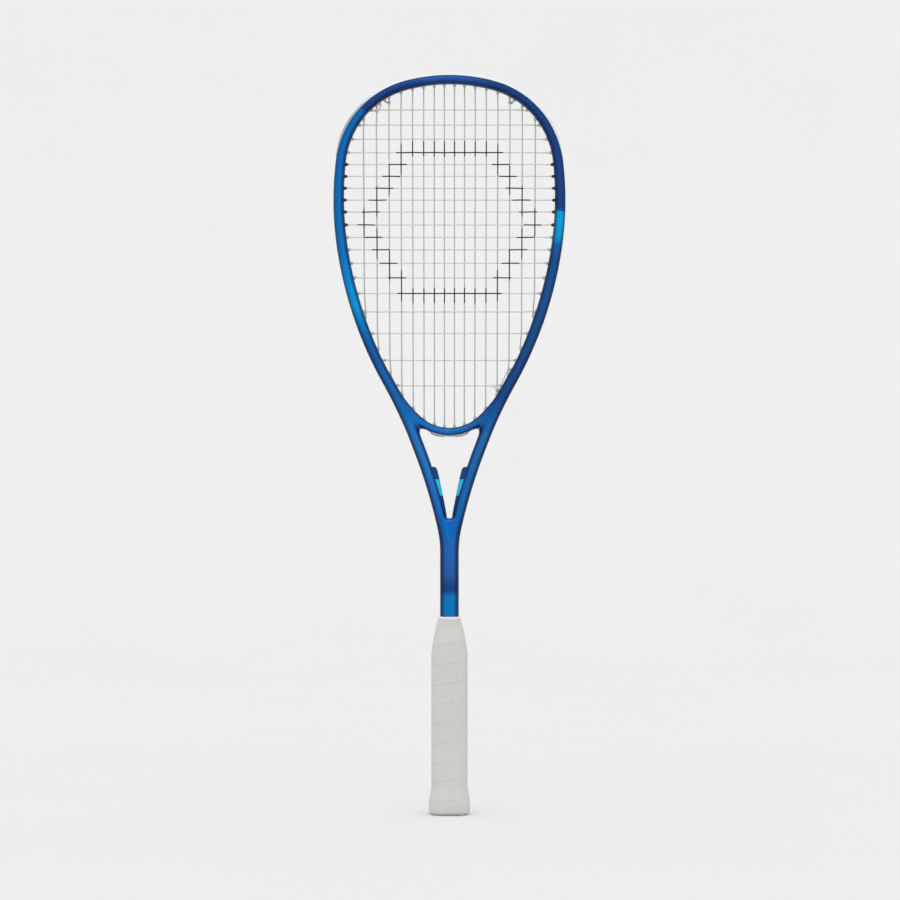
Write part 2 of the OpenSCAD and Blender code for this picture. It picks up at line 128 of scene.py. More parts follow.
bow_c1 = np.array([0.0, BOW_Z + BOW_R1])
bow_c2 = bow_c1 - (BOW_R2 - BOW_R1) * compass(180 - BOW_BEND1)


def bow(angle, t):
    """The point on the foot of the strung opening, t below its edge."""
    a = abs(angle)
    down = compass(180 - a)
    p = bow_c1 + (BOW_R1 + t) * down if a <= BOW_BEND1 else bow_c2 + (BOW_R2 + t) * down
    return p * (-1 if angle < 0 else 1, 1)


def bow_at_x(x):
    near = x < BOW_R1 * math.sin(math.radians(BOW_BEND1))
    c, r = (bow_c1, BOW_R1) if near else (bow_c2, BOW_R2)
    return math.degrees(math.asin((x - c[0]) / r))


def bow_at_z(z):
    return math.degrees(math.acos((bow_c2[1] - z) / BOW_R2))


# Offsets of the tube's inner and outer faces, as (place, offset): slim at the top of the head,
# full down the sides and widest at the arms
INNER_FACE = np.array([
    (0.0, -3.4), (1.4, -3.5), (1.7, -4.2), (2.0, -4.7), (2.4, -5.1), (2.9, -5.4), (3.3, -5.6),
    (3.6, -5.6), (3.85, -5.3), (4.1, -5.6), (4.4, -5.85), (5.0, -5.25), (5.7, -4.75), (7.0, -4.75),
])
OUTER_FACE = np.array([(0.0, 4.75), (4.2, 4.75), (4.5, 5.2), (5.2, 5.3), (5.7, 4.75), (7.0, 4.75)])


def inner_face(s):
    return np.interp(np.abs(s), *INNER_FACE.T)


def outer_face(s):
    return np.interp(np.abs(s), *OUTER_FACE.T)


def section(s):
    """The offset of the middle of the tube's section, and half its width."""
    low, high = inner_face(s), outer_face(s)
    return (low + high) / 2, (high - low) / 2


# ---- String holes on the right half ----
GROOVE_FLOOR = 2.9


class Hole:
    """A string hole: its inner and outer ends, its place, and the way its sleeve points inside."""

    def __init__(self, inner, outer, place, way):
        self.inner = inner
        self.outer = outer
        self.place = place
        self.way = way / np.linalg.norm(way)

    def mirrored(self):
        flip = (-1, 1)
        return Hole(self.inner * flip, self.outer * flip, -self.place, self.way * flip)


def main_x(k):
    return 4.7 + 9.4 * k + 0.22 * k * (k - 1)


def main_x_at(k, z):
    """How far main k is from the middle line: the mains close in by 2 % towards the foot."""
    return main_x(k) * (1 - 0.02 * (650 - z) / 270)


def foot_x(k):
    return main_x(k) * 0.98


def head_hit(p, way, t):
    """The place on the hoop where a ray meets the curve at offset t."""
    for i in range(HOOP_ARCS):
        q = p - centres[i]
        b = q @ way
        k = b * b - q @ q + (signed_r[i] + t) ** 2
        if k < 0:
            continue
        v = q + (math.sqrt(k) - b) * way
        s = i + (math.degrees(math.atan2(v[0], v[1])) - headings[i]) / BENDS[i][1]
        if i <= s < i + 1:
            return s
    raise ValueError("the ray misses the hoop")


UP, DOWN, RIGHT = np.array([0.0, 1.0]), np.array([0.0, -1.0]), np.array([1.0, 0.0])
MIDDLE_Z = 530.0


def square_hole(s):
    """A hole straight through the tube at place s, on either half."""
    inner, outer = at(s, inner_face(s)), at(s, GROOVE_FLOOR)
    return Hole(inner, outer, s, inner - outer)


def string_hole(start, way):
    """The hole that a string running from start meets; its sleeve leans along the string."""
    s = head_hit(start, way, -TUBE_HALF_W)
    seen = head_hit(start, way, inner_face(s))
    inner = at(seen, inner_face(seen))
    normal = (at(s, -1) - at(s, 1)) / 2
    return Hole(inner, at(s, GROOVE_FLOOR), s, 0.25 * normal - 0.75 * way)


def foot_hole(k):
    x = foot_x(k)
    if k > 4:
        return string_hole(np.array([x, MIDDLE_Z]), DOWN)
    angle = bow_at_x(x)
    if k < 2:
        return Hole(bow(angle, 0), bow(angle, BRIDGE_T), 0, UP)
    return Hole(bow(angle, 0), at(FOOT_EXITS[k - 2], GROOVE_FLOOR), FOOT_EXITS[k - 2], UP)


def cross_hole(z):
    if z > LOWEST_HOOP_CROSS:
        return string_hole(np.array([0.0, z]), RIGHT)
    return Hole(bow(bow_at_z(z), 0), at(CROSS_EXIT, GROOVE_FLOOR), CROSS_EXIT, -RIGHT + 0.3 * UP)


top_holes = [string_hole(np.array([main_x(k), MIDDLE_Z]), UP) for k in range(MAINS)]
top_places = [hole.place for hole in top_holes]
foot_holes = [foot_hole(k) for k in range(MAINS)]
cross_holes = [cross_hole(z) for z in CROSS_Z]
MAIN_TIE = top_places[5] + 0.045
CROSS_TIE_TOP = top_places[6] - 0.045
CROSS_TIE_FOOT = 3.94


# ---- Meshes ----
def flat3(p, y=0.0):
    """The point p of the strings' plane, at depth y."""
    return np.array([p[0], y, p[1]])


def merged(parts):
    """One list of points and faces from several."""
    points, faces = [], []
    for p, f in parts:
        first = sum(len(q) for q in points)
        points.append(np.asarray(p, float))
        faces += [[first + i for i in face] for face in f]
    return np.concatenate(points), faces


def loft(rings, capped=True, looped=False):
    """A skin through rings of points, all the same way round."""
    m, n = len(rings), len(rings[0])
    faces = []
    for i in range(m if looped else m - 1):
        a, b = i * n, (i + 1) % m * n
        faces += [[a + j, b + j, b + (j + 1) % n, a + (j + 1) % n] for j in range(n)]
    if capped and not looped:
        faces.append(list(range(n)))
        faces.append([(m - 1) * n + j for j in reversed(range(n))])
    return np.concatenate([np.asarray(r, float) for r in rings]), faces


def swept(stops, profile):
    """A closed profile of (offset, depth) points carried along the centre line."""
    return loft([[flat3(at(s, t), y) for t, y in profile(s)] for s in stops])


def circle(centre, radius, one, other, sides):
    turns = (np.arange(sides) * 2 * math.pi / sides)[:, None]
    return centre + radius * (np.cos(turns) * one + np.sin(turns) * other)


def tube(points, radius, sides=10):
    """A round strand along a path, its frame carried along so that it never twists."""
    points = np.asarray(points, float)
    tangents = np.gradient(points, axis=0)
    tangents /= np.linalg.norm(tangents, axis=1)[:, None]
    side = np.cross(tangents[0], (0, 1, 0))
    if np.linalg.norm(side) < 0.1:
        side = np.array([1.0, 0.0, 0.0])
    rings = []
    for p, t in zip(points, tangents):
        side = side - t * (side @ t)
        side /= np.linalg.norm(side)
        rings.append(circle(p, radius, side, np.cross(t, side), sides))
    return loft(rings)


def softened(points, rounds=2):
    """Corners cut off a path, again and again, so that it bends smoothly."""
    points = np.asarray(points, float)
    for _ in range(rounds):
        a, b = points[:-1], points[1:]
        cut = np.stack([0.75 * a + 0.25 * b, 0.25 * a + 0.75 * b], axis=1).reshape(-1, 3)
        points = np.concatenate([points[:1], cut, points[-1:]])
    return points


def lathe(p, q, outline, sides=20):
    """A turned form: outline holds (distance from p towards q, radius) points."""
    p, q = np.asarray(p, float), np.asarray(q, float)
    axis = (q - p) / np.linalg.norm(q - p)
    one = np.array([0.0, 1.0, 0.0])
    other = np.cross(axis, one)
    rings = [circle(p + d * axis, r, one, other, sides) for d, r in outline]
    return loft(rings, capped=False, looped=True)


def both_halves(half):
    """A closed outline from the half with depths of 0 and more."""
    return half + [(u, -y) for u, y in reversed(half[1:-1])]


racket = bpy.data.collections.new("racket")
bpy.context.scene.collection.children.link(racket)


def made_object(name, points, faces):
    """A mesh object in metres, with its normals outwards."""
    mesh = bpy.data.meshes.new(name)
    mesh.from_pydata((np.asarray(points) * MM).tolist(), [], faces)
    mesh.validate()
    obj = bpy.data.objects.new(name, mesh)
    racket.objects.link(obj)
    bpy.context.view_layer.objects.active = obj
    obj.select_set(True)
    bpy.ops.object.mode_set(mode="EDIT")
    bpy.ops.mesh.select_all(action="SELECT")
    bpy.ops.mesh.normals_make_consistent(inside=False)
    bpy.ops.object.mode_set(mode="OBJECT")
    obj.select_set(False)
    return obj


def piece(name, points, faces, material, stands_for=(), slot=None):
    """Makes a smooth object, rides it on the racket and hides the CAD nodes it stands for."""
    obj = made_object(name, points, faces)
    obj.data.shade_smooth()
    obj.data.materials.append(material)
    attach(obj, "root")
    if stands_for:
        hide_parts(*stands_for)
    return obj


def rounded(obj):
    modifier = obj.modifiers.new("Rounding", "SUBSURF")
    modifier.levels = modifier.render_levels = 2


# ---- Materials ----
def rgb(code):
    """A colour from its sRGB hex code, in linear light."""
    out = []
    for i in (0, 2, 4):
        c = int(code[i : i + 2], 16) / 255
        out.append(c / 12.92 if c <= 0.04045 else ((c + 0.055) / 1.055) ** 2.4)
    return (*out, 1.0)


class Finish:
    """A node material around one Principled shader, with short names for common nodes."""

    def __init__(self, name, **settings):
        self.material = bpy.data.materials.new(name)
        self.material.use_nodes = True
        self.tree = self.material.node_tree
        self.tree.nodes.clear()
        out = self.tree.nodes.new("ShaderNodeOutputMaterial")
        self.shader = self.tree.nodes.new("ShaderNodeBsdfPrincipled")
        self.tree.links.new(self.shader.outputs[0], out.inputs["Surface"])
        for socket, value in settings.items():
            self.shader.inputs[socket.replace("_", " ")].default_value = value
        coords = self.tree.nodes.new("ShaderNodeTexCoord")
        self.place = coords.outputs["Object"]
        geometry = self.tree.nodes.new("ShaderNodeNewGeometry")
        self.normal = geometry.outputs["Normal"]
        self.x, _, self.z = self.split(self.place)

    def feed(self, socket, value):
        if hasattr(value, "is_output"):
            self.tree.links.new(value, socket)
        else:
            socket.default_value = rgb(value) if isinstance(value, str) else value

    def add(self, kind, inputs, **settings):
        """Adds a node with these settings and inputs, and gives its outputs."""
        node = self.tree.nodes.new("ShaderNode" + kind)
        for name, value in settings.items():
            setattr(node, name, value)
        for name, value in inputs.items():
            self.feed(node.inputs[name], value)
        return node.outputs

    def split(self, vector):
        return tuple(self.add("SeparateXYZ", {0: vector}))

    def math(self, operation, *values):
        return self.add("Math", dict(enumerate(values)), operation=operation)[0]

    def times(self, a, b):
        return self.math("MULTIPLY", a, b)

    def size(self, value):
        return self.math("ABSOLUTE", value)

    def step(self, value, low, high):
        """0 below low, 1 above high, smooth between."""
        inputs = {"Value": value, "From Min": low, "From Max": high}
        return self.add("MapRange", inputs, interpolation_type="SMOOTHSTEP")["Result"]

    def across(self, value, stretch):
        """A step over a stretch given in millimetres."""
        return self.step(value, stretch[0] * MM, stretch[1] * MM)

    def fall(self, value, low, high):
        """1 below low, 0 above high, smooth between."""
        return self.math("SUBTRACT", 1.0, self.step(value, low, high))

    def band(self, value, low, high, soft):
        """1 between low and high, with edges of the given softness inside them."""
        return self.times(self.step(value, low, low + soft), self.fall(value, high - soft, high))

    def linear(self, value, low, high, to_low=0.0, to_high=1.0):
        inputs = {"Value": value, "From Min": low, "From Max": high}
        return self.add("MapRange", {**inputs, "To Min": to_low, "To Max": to_high})["Result"]

    def noise(self, scale, detail=3.0, roughness=0.5, where=None):
        inputs = {"Vector": where or self.place, "Scale": scale, "Detail": detail}
        return self.add("TexNoise", {**inputs, "Roughness": roughness})["Fac"]

    def cells(self, scale):
        return self.add("TexVoronoi", {"Vector": self.place, "Scale": scale})["Distance"]

    def stretched(self, x, y, z):
        return self.add("Mapping", {"Vector": self.place, "Scale": (x, y, z)})[0]

    def ramp(self, factor, stops):
        node = self.tree.nodes.new("ShaderNodeValToRGB")
        self.feed(node.inputs["Fac"], factor)
        elements = node.color_ramp.elements
        while len(elements) > 1:
            elements.remove(elements[-1])
        elements[0].position, elements[0].color = stops[0]
        for position, colour in stops[1:]:
            elements.new(position).color = colour
        return node.outputs["Color"]

    def mix(self, factor, a, b, blend="MIX"):
        inputs = {"Factor": factor, 6: a, 7: b}
        return self.add("Mix", inputs, data_type="RGBA", blend_type=blend)[2]

    def bump(self, height, distance, strength=1.0, after=None):
        """Relief of the given depth in millimetres, over the relief after."""
        inputs = {"Strength": strength, "Distance": distance * MM, "Height": height}
        return self.add("Bump", {**inputs, "Normal": after} if after else inputs)[0]

    def use(self, **sockets):
        for socket, value in sockets.items():
            self.feed(self.shader.inputs[socket.replace("_", " ")], value)
        return self.material


# Stops of the paint along the racket, as (height, colour): the shaft, then each side above it
SHAFT_PAINT = [
    (183, "0A72B8"), (202, "0A72B8"), (207, "17407A"), (212, "1B4178"), (222, "245A9F"),
    (240, "2660AE"), (262, "0A64B4"),
]
LEFT_PAINT = SHAFT_PAINT + [
    (300, "1E6BB6"), (345, "2470B8"), (372, "1165AC"), (400, "145FA6"), (425, "10549A"),
    (440, "0A5FA6"), (455, "0678BC"), (468, "0392D4"), (482, "038ACF"), (505, "0779C0"),
    (540, "066AB2"), (590, "0866AE"), (640, "0565AC"), (652, "0464AC"),
]
RIGHT_PAINT = SHAFT_PAINT + [
    (300, "1C62A6"), (345, "2068A8"), (366, "125A9C"), (385, "164283"), (420, "184884"),
    (470, "194C8B"), (512, "184A87"), (526, "0C5C9C"), (534, "0392CE"), (545, "049CD6"),
    (557, "049CD6"),
]
PAINT_LOW, PAINT_HIGH = 183.0, 690.0
HOOP_SHADE, TOP_SHADE, CORNER_SHADE, SHAFT_EDGE_SHADE = "164A8C", "20509A", "173E7C", "0E1E3C"
# Where the darker hoop begins: its height on the middle line, and its slant across the racket
RIGHT_EDGE_Z, RIGHT_SLANT = 583.0, 0.25
LEFT_EDGE_Z, LEFT_SLANT = 601.6, 0.62
EDGE_SOFTNESS = 0.4
SHOULDER_Z = 560.0
# Painted highlight on the hoop's top: lighter within the first reach from the middle line, darker past
# the second (mm)
CROWN_HIGHLIGHT_SPAN = (12.0, 45.0)
# Painted shade on the shaft's edges: where it starts and ends across (mm), where it fades out up the
# racket (mm), and its strength
SHAFT_FADE_X = (3.0, 9.8)
SHAFT_FADE_Z = (245.0, 285.0)
SHAFT_FADE = 0.72
# How much painted shade darkens the faces that look away from the strings, as (height, share),
# and those that look towards them. Above the head's middle, away means away from that point.
OUTER_PAINTED_SHADE = [
    (183, 0.45), (270, 0.78), (420, 0.78), (500, 0.35), (560, 0.22), (640, 0.25), (672, 0.45),
]
INNER_PAINTED_SHADE = 0.45
HEAD_MIDDLE = 560.0


def paint_share(z):
    return (z - PAINT_LOW) / (PAINT_HIGH - PAINT_LOW)


def banded(f, height):
    """The paint's colour bands, with the darker hoop over them and a painted highlight on its top."""

    def along(stops):
        return f.ramp(height, [(paint_share(z), rgb(c)) for z, c in stops])

    def above_edge(slant, z):
        return f.across(f.math("MULTIPLY_ADD", f.x, slant, f.z), (z, z + EDGE_SOFTNESS))

    left, right = along(LEFT_PAINT), along(RIGHT_PAINT)
    right = f.mix(above_edge(RIGHT_SLANT, RIGHT_EDGE_Z), right, HOOP_SHADE)
    colour = f.mix(f.across(f.x, (-0.5, 0.5)), left, right)
    shoulder = f.across(f.z, (SHOULDER_Z, SHOULDER_Z + 1))
    over = f.times(above_edge(LEFT_SLANT, LEFT_EDGE_Z), shoulder)
    # Painted highlight: the hoop's top is lighter at its middle, darker towards the corners
    across = f.across(f.size(f.x), CROWN_HIGHLIGHT_SPAN)
    return f.mix(over, colour, f.mix(across, TOP_SHADE, CORNER_SHADE))


def painted_edge_shade(f, height, colour):
    """Painted shade on the faces that look sideways, darkest on the outer side."""
    across, depth, up = f.split(f.normal)
    # Painted shade: faces seen edge-on get a darker, multiplied copy of the colour
    front = f.step(f.size(depth), 0.05, 0.85)
    shade = f.mix(1.0, colour, (0.30, 0.33, 0.42, 1.0), "MULTIPLY")
    colour = f.mix(front, shade, colour)
    above = f.math("MAXIMUM", f.math("SUBTRACT", f.z, HEAD_MIDDLE * MM), 0.0)
    span = f.math("SQRT", f.math("MULTIPLY_ADD", f.x, f.x, f.times(above, above)))
    sideways = f.math("MULTIPLY_ADD", across, f.x, f.times(up, above))
    outward = f.math("DIVIDE", sideways, f.math("MAXIMUM", span, 0.001))
    share = f.ramp(height, [(paint_share(z), (d, d, d, 1.0)) for z, d in OUTER_PAINTED_SHADE])
    # Painted shade: the outward faces, and less so the inward ones, are darkened towards near-black
    outer = f.times(f.step(outward, 0.12, 0.92), share)
    inner = f.times(f.step(f.times(outward, -1.0), 0.25, 1.0), INNER_PAINTED_SHADE)
    return f.mix(f.math("ADD", outer, inner), colour, (0.01, 0.012, 0.02, 1.0))


def paint_finish():
    """Lacquered paint whose colour follows the place on the racket, with painted shade on its sides
    and a painted highlight on the hoop's top.
    """
    f = Finish("racket_paint", Coat_Weight=0.06, Coat_Roughness=0.1, Specular_IOR_Level=0.08,
               Specular_Tint=(0.15, 0.3, 0.6, 1.0))
    height = f.linear(f.z, PAINT_LOW * MM, PAINT_HIGH * MM)
    colour = painted_edge_shade(f, height, banded(f, height))
    # Painted shade: the shaft's flat face darkens towards its edges
    fade = f.across(f.size(f.x), SHAFT_FADE_X)
    fade = f.times(fade, f.math("SUBTRACT", 1.0, f.across(f.z, SHAFT_FADE_Z)))
    colour = f.mix(f.times(fade, SHAFT_FADE), colour, SHAFT_EDGE_SHADE)
    # Fine metal flakes and slow drift under the lacquer
    flakes = f.noise(5200.0, 1.0)
    drift = f.noise(38.0, 3.0)
    colour = f.mix(f.linear(flakes, 0.62, 0.8, 0.0, 0.16), colour, "9CC6EA")
    colour = f.mix(f.linear(drift, 0.3, 0.7, 0.0, 0.10), colour, "0C2E66")
    peel = f.noise(260.0, 2.0)
    scuffs = f.noise(45.0, 5.0, 0.7, f.stretched(1, 1, 0.15))
    return f.use(
        Base_Color=colour,
        Metallic=f.linear(flakes, 0.55, 0.8, 0.5, 0.75),
        Roughness=f.linear(scuffs, 0.3, 0.75, 0.30, 0.42),
        Normal=f.bump(peel, 0.05, 0.25),
    )


PATCH_LOW, PATCH_HIGH = 294.5, 310.5


def insert_finish():
    """Satin dark blue with a plain bright patch across the fin's upper half."""
    f = Finish("insert_paint", Coat_Weight=0.08, Coat_Roughness=0.2, Specular_IOR_Level=0.15)
    wave = f.noise(900.0, 2.0)
    height = f.math("MULTIPLY_ADD", wave, 0.4 * MM, f.z)
    patch = f.band(height, PATCH_LOW * MM, PATCH_HIGH * MM, 1.0 * MM)
    ground = f.mix(f.noise(70.0, 3.0), "0F3568", "15427C")
    bright = f.mix(f.noise(120.0, 3.0), "0FA6CC", "35C4E0")
    return f.use(
        Base_Color=f.mix(patch, ground, bright),
        Roughness=f.linear(f.noise(80.0, 4.0), 0.3, 0.7, 0.34, 0.46),
        Normal=f.bump(f.noise(1500.0, 2.0), 0.03, 0.3),
    )


# Where the painted shade on the left wing begins and where it is full, in mm from the middle line
WING_SHADE_SPAN = (62.0, 92.0)


def plastic_finish(name, colour, tint, see_through=0.0, rough=0.4, shaded_wing=None):
    """Moulded plastic: faint flow marks, fine grain, scuffs and perhaps painted shade greying the left
    wing.
    """
    f = Finish(name, Transmission_Weight=see_through, IOR=1.46, Subsurface_Weight=0.08,
               Subsurface_Radius=(0.002, 0.002, 0.002))
    flow = f.noise(60.0, 4.0, 0.6, f.stretched(1, 2.5, 1))
    scuffs = f.noise(180.0, 6.0, 0.75)
    base = f.mix(f.linear(flow, 0.35, 0.65, 0.0, 0.5), colour, tint)
    base = f.mix(f.linear(scuffs, 0.62, 0.8, 0.0, 0.35), base, tint)
    if shaded_wing:
        # Painted shade: the left wing turns greyer
        base = f.mix(f.across(f.times(f.x, -1.0), WING_SHADE_SPAN), base, shaded_wing)
    return f.use(
        Base_Color=base,
        Roughness=f.linear(scuffs, 0.3, 0.8, rough, rough + 0.18),
        Normal=f.bump(f.noise(2600.0, 3.0), 0.03, 0.35),
    )


# The ring of ink: the height of its middle, and its reach to its inner and outer edges
RING_Z = 548.0
RING_IN, RING_OUT = 61.0, 76.0
INK = "08080A"


def string_finish(name, colour, tint):
    """Braided synthetic gut with a plain hexagon ring of ink on the front of the strings."""
    f = Finish(name, Coat_Weight=0.08, Coat_Roughness=0.2, Specular_IOR_Level=0.25)
    x = f.size(f.x)
    z = f.size(f.math("SUBTRACT", f.z, RING_Z * MM))
    slant = f.math("MULTIPLY_ADD", x, math.cos(math.radians(30)), f.times(z, 0.5))
    reach = f.math("MAXIMUM", slant, z)
    reach = f.math("MULTIPLY_ADD", f.noise(700.0, 3.0), 1.2 * MM, reach)
    ink = f.band(reach, RING_IN * MM, RING_OUT * MM, 0.6 * MM)
    _, depth, _ = f.split(f.normal)
    ink = f.times(ink, f.fall(depth, 0.25, 0.6))
    fibres = f.noise(3200.0, 4.0, 0.6)
    base = f.mix(fibres, colour, tint)
    return f.use(
        Base_Color=f.mix(ink, base, INK),
        Roughness=f.linear(fibres, 0.3, 0.7, 0.34, 0.5),
        Normal=f.bump(fibres, 0.06, 0.5),
    )


def wrap_finish():
    """Tacky polyurethane grip: pebbled skin, tiny pores darkened with painted shade, faint clouds and
    creases.
    """
    f = Finish("grip_wrap", Sheen_Weight=0.12, Sheen_Roughness=0.6, Specular_IOR_Level=0.3)
    pebbles = f.cells(1100.0)
    pores = f.step(f.cells(420.0), 0.05, 0.16)
    fold = f.noise(130.0, 4.0, 0.6, f.stretched(1, 1, 0.5))
    cloud = f.noise(26.0, 4.0)
    base = f.mix(f.linear(cloud, 0.3, 0.7, 0.0, 0.6), "CACBC7", "C0C1BD")
    base = f.mix(f.linear(fold, 0.55, 0.8, 0.0, 0.4), base, "B5B5B1")
    # Painted shade: the pores are darkened inside
    base = f.mix(pores, f.mix(1.0, base, (0.82, 0.82, 0.81, 1.0), "MULTIPLY"), base)
    first = f.bump(pebbles, 0.08, 0.35)
    second = f.bump(pores, 0.12, 0.5, first)
    return f.use(
        Base_Color=base,
        Roughness=f.linear(fold, 0.3, 0.7, 0.55, 0.72),
        Normal=f.bump(fold, 0.25, 0.3, second),
    )


def tape_finish():
    """Thin glossy finishing tape with a fine weave across it and a white upper edge."""
    f = Finish("grip_tape", Coat_Weight=0.3, Coat_Roughness=0.25)
    threads = f.math("SINE", f.times(f.z, 9000.0))
    base = f.mix(f.linear(threads, -1.0, 1.0, 0.0, 0.25), "D6D5D2", "C8C7C4")
    base = f.mix(f.across(f.z, (GRIP_TOP - 0.7, GRIP_TOP - 0.4)), base, "F2F3F4")
    return f.use(
        Base_Color=f.mix(f.linear(f.noise(90.0), 0.4, 0.8, 0.0, 0.3), base, "C6CACE"),
        Roughness=f.linear(f.noise(300.0), 0.3, 0.7, 0.32, 0.45),
        Normal=f.bump(threads, 0.02, 0.4),
    )


def foam_finish(name, colour, tint):
    f = Finish(name)
    cells = f.cells(900.0)
    return f.use(
        Base_Color=f.mix(cells, colour, tint),
        Roughness=f.linear(cells, 0.0, 1.0, 0.8, 0.95),
        Normal=f.bump(cells, 0.2, 0.6),
    )


def steel_finish():
    f = Finish("staple_steel", Metallic=1.0)
    lines = f.noise(800.0, 3.0, 0.6, f.stretched(1, 1, 12))
    return f.use(
        Base_Color=f.mix(lines, "A9ADB1", "C9CCCF"),
        Roughness=f.linear(lines, 0.3, 0.7, 0.28, 0.42),
        Normal=f.bump(lines, 0.02, 0.4),
    )


paint = paint_finish()
insert_paint = insert_finish()
# The guard's left wing is greyed with painted shade
guard_white = plastic_finish("guard_white", "DDE2E8", "C3CAD2", rough=0.42, shaded_wing="8E9CAE")
grommet_dark = plastic_finish("grommet_dark", "241016", "3B1A22", rough=0.38)
grommet_clear = plastic_finish("grommet_clear", "DDE1E6", "BFC6CE", see_through=0.45, rough=0.28)
cap_plastic = plastic_finish("cap_plastic", "D6D7D4", "C2C4C1", rough=0.45)
# One string in two copies: darker grey on the mains for painted shade, lighter cream on the crosses
# for painted light
string_main = string_finish("string_main", "BBBAB8", "A3A2A0")
string_cross = string_finish("string_cross", "D8D6CE", "C6C4BA")
grip_skin = wrap_finish()
tape_skin = tape_finish()
handle_foam = foam_finish("handle_foam", "C9B48A", "A8915F")
plug_foam = foam_finish("plug_foam", "B9B58E", "96916A")
steel = steel_finish()


# ---- The frame: one smooth skin over tube, shaft and bridge ----
def oval(u, y, half_u, half_y, power):
    """Rough distance from a superellipse."""
    ratio = (np.abs(u / half_u) ** power + np.abs(y / half_y) ** power) ** (1 / power)
    return np.hypot(u, y) * (1 - 1 / np.maximum(ratio, 1e-6))


def joined(a, b, k):
    """The union of two fields, with a fillet of about k."""
    h = np.clip(0.5 + 0.5 * (b - a) / k, 0, 1)
    return b + (a - b) * h - k * h * (1 - h)


def nearest_on_tube(x, z):
    """The place and the offset of points against the right half's centre line."""
    place = np.full(x.shape, float(ALL_ARCS))
    offset = np.full(x.shape, 1e3)
    for i, (_, bend) in enumerate(BENDS):
        way = math.copysign(1, bend)
        dx, dz = x - centres[i][0], z - centres[i][1]
        share = (np.degrees(np.arctan2(way * dx, way * dz)) - headings[i]) / bend
        t = way * np.hypot(dx, dz) - signed_r[i]
        lowest = -0.4 if i == 0 else 0.0
        closer = (share >= lowest) & (share <= 1) & (np.abs(t) < np.abs(offset))
        place = np.where(closer, i + share, place)
        offset = np.where(closer, t, offset)
    t = x - LEG_TOP[0]
    closer = (z <= LEG_TOP[1]) & (np.abs(t) < np.abs(offset))
    below = ALL_ARCS + (LEG_TOP[1] - z) / (LEG_TOP[1] - LEG_FOOT)
    return np.where(closer, below, place), np.where(closer, t, offset)


GROOVE_DIP = 1.8
GROOVE_STOP = 4.4
TUBE_POWER, SHAFT_POWER = 2.5, 3.0
SHAFT_HALF_W = 7.85
SHAFT_TOP = 273.3


def tube_field(x, y, z):
    s, t = nearest_on_tube(x, z)
    core, half = section(s)
    skin = oval(t - core, y, half, TUBE_HALF_D, TUBE_POWER)
    dip = 1 - rise(np.abs(y), 2.3, 3.7)
    return skin + GROOVE_DIP * dip * rise(t, 0.5, 3.0) * (1 - rise(s, GROOVE_STOP - 0.04, GROOVE_STOP))


def bridge_field(x, y, z):
    x = np.abs(x)
    a1 = np.degrees(np.arctan2(x - bow_c1[0], bow_c1[1] - z))
    a2 = np.degrees(np.arctan2(x - bow_c2[0], bow_c2[1] - z))
    t1 = np.hypot(x - bow_c1[0], z - bow_c1[1]) - BOW_R1
    t2 = np.hypot(x - bow_c2[0], z - bow_c2[1]) - BOW_R2
    outer = a1 > BOW_BEND1
    t = np.where(outer, t2, t1)
    past = np.where(outer, np.radians(a2 - BOW_SPAN) * BOW_R2, -20.0)
    skin = oval(t - BRIDGE_T / 2, y, BRIDGE_T / 2, BRIDGE_HALF_D, TUBE_POWER)
    return np.maximum(skin, past), t, 1 - rise(np.where(outer, a2, a1), 44, 58)


def shaft_field(x, y, z):
    skin = oval(x, y, SHAFT_HALF_W, TUBE_HALF_D, SHAFT_POWER)
    return -joined(-skin, SHAFT_TOP - z, 3.0)


def frame_field(p):
    x, y, z = p.T
    arms_k = 0.05 + 5.0 * (1 - rise(z, 276, 300))
    tubes = joined(tube_field(x, y, z), tube_field(-x, y, z), arms_k)
    bridge, t, fillet = bridge_field(x, y, z)
    skin = joined(tubes, bridge, 1.0 + 8.5 * rise(t, 2.0, 6.5) * fillet)
    skin = joined(skin, shaft_field(x, y, z), 3.0)
    return np.maximum(skin, LEG_FOOT - z)


def slope_of(field, p):
    """The field's gradient, by small steps each way."""
    tiny = 0.02
    columns = []
    for axis in range(3):
        step = np.zeros(3)
        step[axis] = tiny
        columns.append((field(p + step) - field(p - step)) / (2 * tiny))
    return np.stack(columns, axis=1)


def settled(points, field, rounds):
    """Points walked down the field onto its surface, never more than a millimetre at a time."""
    for _ in range(rounds):
        slope = slope_of(field, points)
        square = np.maximum((slope**2).sum(axis=1), 0.05)
        points = points - slope * np.clip(field(points) / square, -1.0, 1.0)[:, None]
    return points


def remeshed(parts, voxel):
    """An even quad skin round overlapping closed meshes."""
    obj = made_object("rough", *merged(parts))
    modifier = obj.modifiers.new("Skin", "REMESH")
    modifier.mode = "VOXEL"
    modifier.voxel_size = voxel * MM
    graph = bpy.context.evaluated_depsgraph_get()
    made = obj.evaluated_get(graph).to_mesh()
    co = np.zeros(len(made.vertices) * 3)
    made.vertices.foreach_get("co", co)
    quads = np.array([list(f.vertices) for f in made.polygons if len(f.vertices) == 4])
    bpy.data.objects.remove(obj)
    return co.reshape(-1, 3) / MM, quads


def relaxed(points, quads, field):
    """Each point moved half way to the mean of its neighbours, then back onto the surface."""
    total = np.zeros_like(points)
    count = np.zeros(len(points))
    for a, b in ((0, 1), (1, 2), (2, 3), (3, 0)):
        for i, j in ((quads[:, a], quads[:, b]), (quads[:, b], quads[:, a])):
            np.add.at(total, i, points[j])
            np.add.at(count, i, 1)
    return settled(0.5 * points + 0.5 * total / count[:, None], field, 2)


